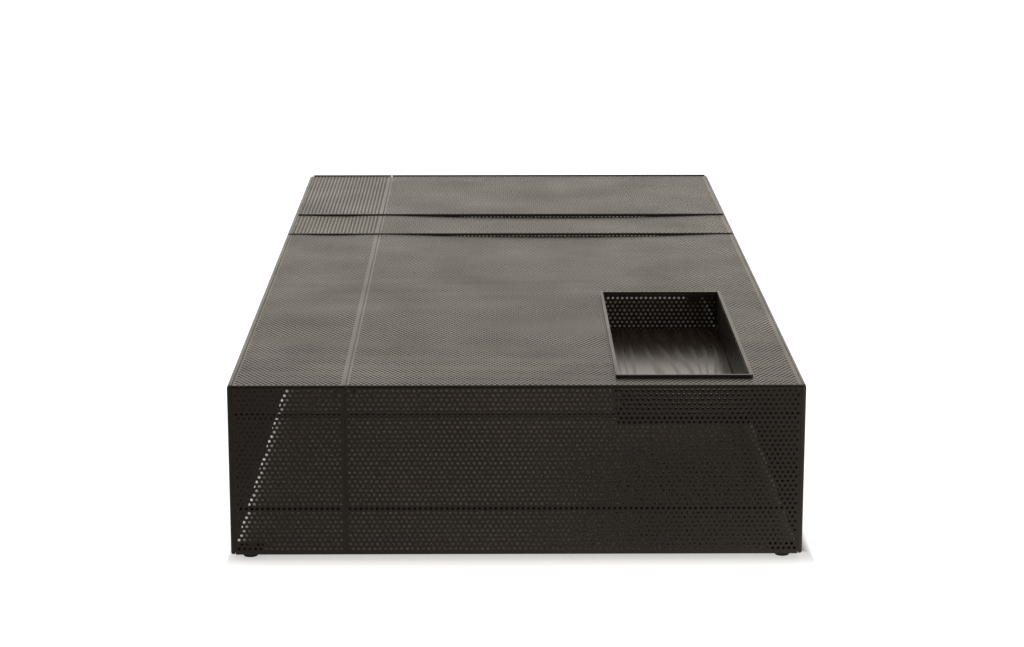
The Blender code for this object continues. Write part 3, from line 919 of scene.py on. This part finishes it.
def make_panels(paint):
    """The front and back sheets. A sign is the way along Y that their outer faces look."""
    rounded = edge_profile(ROUNDED_EDGE)
    folded = edge_profile(PANEL_FOLD, PANEL_LIP)
    edges = (rounded, folded, rounded, folded)
    for face, sign in (("front", -1), ("back", 1)):
        for column, first_column in (("left", LEFT_COLUMN), ("right", FRONT_RIGHT_COLUMN)):
            node = f"{face}_panel_{column}"
            low, high = panel_box(node, column)
            centre = Vector(((low.x + high.x) / 2, sign * max(-low.y, high.y), (low.z + high.z) / 2))
            outline = sheet_outline((low, high), (0, 2), edges, PANEL_CORNER)
            start = (-sign * (first_column - centre.x), TOP_ROW - centre.z)
            place = facing((0, sign, 0), (-sign, 0, 0), centre)
            panel = PerforatedSheet(outline, edges, start).build("sheet_" + node, place)
            settle(panel, TABLE, "perforated_sheet", paint, node)


def make_side_sheets(paint):
    """The side sheets. A sign is the way along X that their outer faces look."""
    side = edge_profile(SIDE_FOLD, SIDE_LIP)
    foot = edge_profile(SIDE_FOOT_FOLD, SIDE_FOOT_LIP)
    for label, sign, top_lip in (("left", -1, SIDE_LIP), ("right", 1, SIDE_TOP_LIP_RIGHT)):
        edges = (side, edge_profile(SIDE_FOLD, top_lip), side, foot)
        for span in ("front", "back"):
            node = f"side_panel_{label}_{span}"
            low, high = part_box(node)
            centre = Vector((sign * max(-low.x, high.x), (low.y + high.y) / 2, (low.z + high.z) / 2))
            outline = sheet_outline((low, high), (1, 2), edges, SIDE_CORNER)
            start = (outline.low[0] + HALF_PITCH + 2 * HOLE_MARGIN, TOP_ROW - centre.z)
            place = facing((sign, 0, 0), (0, sign, 0), centre)
            panel = PerforatedSheet(outline, edges, start).build("sheet_" + node, place)
            settle(panel, TABLE, "perforated_sheet", paint, node)


def make_tray_wall(paint, label, normal, top_row):
    """A wall of the tray. Its top row of holes lies top_row below its upper edge."""
    node = "tray_wall_" + label
    low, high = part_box(node)
    edges = (edge_profile(TRAY_WALL_EDGE),) * 4
    across = Vector((0, 0, 1)).cross(Vector(normal))
    axis = 0 if normal[0] else 1
    centre = (low + high) / 2
    centre[axis] = high[axis] if sum(normal) > 0 else low[axis]
    outline = sheet_outline((low, high), (1 - axis, 2), edges, TRAY_WALL_EDGE)
    start = (0.0, outline.high[1] - top_row)
    place = facing(normal, tuple(across), centre)
    wall = PerforatedSheet(outline, edges, start, FINE_HOLE_SIDES).build("sheet_" + node, place)
    settle(wall, TRAY, "perforated_sheet", paint, node)


def make_tray_walls(paint):
    make_tray_wall(paint, "left", (-1, 0, 0), TRAY_TOP_ROW)
    make_tray_wall(paint, "right", (1, 0, 0), TRAY_TOP_ROW)
    make_tray_wall(paint, "front", (0, -1, 0), TRAY_FRONT_TOP_ROW)
    make_tray_wall(paint, "back", (0, 1, 0), TRAY_TOP_ROW)


def dress_nodes(paint, steel, rubber, wood):
    """Gives the CAD nodes that stay in view their materials."""
    for name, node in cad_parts.items():
        material = paint
        if name.startswith(("foot_bolt", "foot_nut", "tray_screw")) or "rivet" in name:
            material = steel
        elif name.startswith("foot_"):
            material = rubber
        elif name == "tray_board":
            material = wood
        for slot in node.material_slots:
            slot.material = material


# Stage

def make_floor():
    half = FLOOR_SIZE / 2
    corners = [(-half, -half, 0), (half, -half, 0), (half, half, 0), (-half, half, 0)]
    mesh = bpy.data.meshes.new("floor")
    mesh.from_pydata(corners, [], [(0, 1, 2, 3)])
    mesh.materials.append(make_floor_material())
    floor = add_object("floor", mesh)


def make_sky():
    world = bpy.data.worlds.new("studio")
    bpy.context.scene.world = world
    world.use_nodes = True
    nodes, links = world.node_tree.nodes, world.node_tree.links
    coordinates = nodes.new("ShaderNodeTexCoord")
    _, depth, height = split_places(nodes, links, coordinates.outputs["Generated"])
    around = map_range(nodes, links, depth, SKY_DEPTH_RANGE, (SKY_FRONT, SKY_BACK), kind="SMOOTHSTEP")
    low = map_range(nodes, links, height, SKY_HEIGHT_RANGE, (1.0, 0.0), kind="SMOOTHSTEP")
    strength = blend(nodes, links, low, SKY_HIGH, around, data_type="FLOAT")
    feed_all(links, nodes["Background"], {"Color": SKY_COLOUR, "Strength": strength})


def make_sun():
    """A very soft light from above."""
    light = bpy.data.lights.new("softbox", "SUN")
    light.energy = SUN_STRENGTH
    light.angle = SUN_SPREAD
    sun = add_object("softbox", light)
    sun.rotation_euler = SUN_TILT


def make_lamp():
    """A small softbox at the front right, out of view."""
    light = bpy.data.lights.new("side_softbox", "AREA")
    light.shape = "SQUARE"
    light.size = LAMP_SIZE
    light.energy = LAMP_POWER
    lamp = add_object("side_softbox", light)
    lamp.location = LAMP_PLACE
    lamp.rotation_euler = (Vector(LAMP_PLACE) - Vector(LAMP_AIM)).to_track_quat("Z", "Y").to_euler()
    lamp.visible_camera = False


def make_camera():
    data = bpy.data.cameras.new("camera")
    data.sensor_width = SENSOR_WIDTH
    data.lens = CAMERA_LENS
    camera = add_object("camera", data)
    camera.location = CAMERA_PLACE
    camera.rotation_euler = (math.pi / 2 - CAMERA_PITCH, 0, -CAMERA_YAW)
    bpy.context.scene.camera = camera


bpy.context.scene.view_settings.view_transform = "Standard"
paint = make_paint()
steel = make_steel()
rubber = make_rubber()
wood = make_wood()
make_camera()
make_sky()
make_sun()
make_lamp()
make_floor()
make_top_sheets(paint)
make_panels(paint)
make_side_sheets(paint)
make_tray_walls(paint)
dress_nodes(paint, steel, rubber, wood)
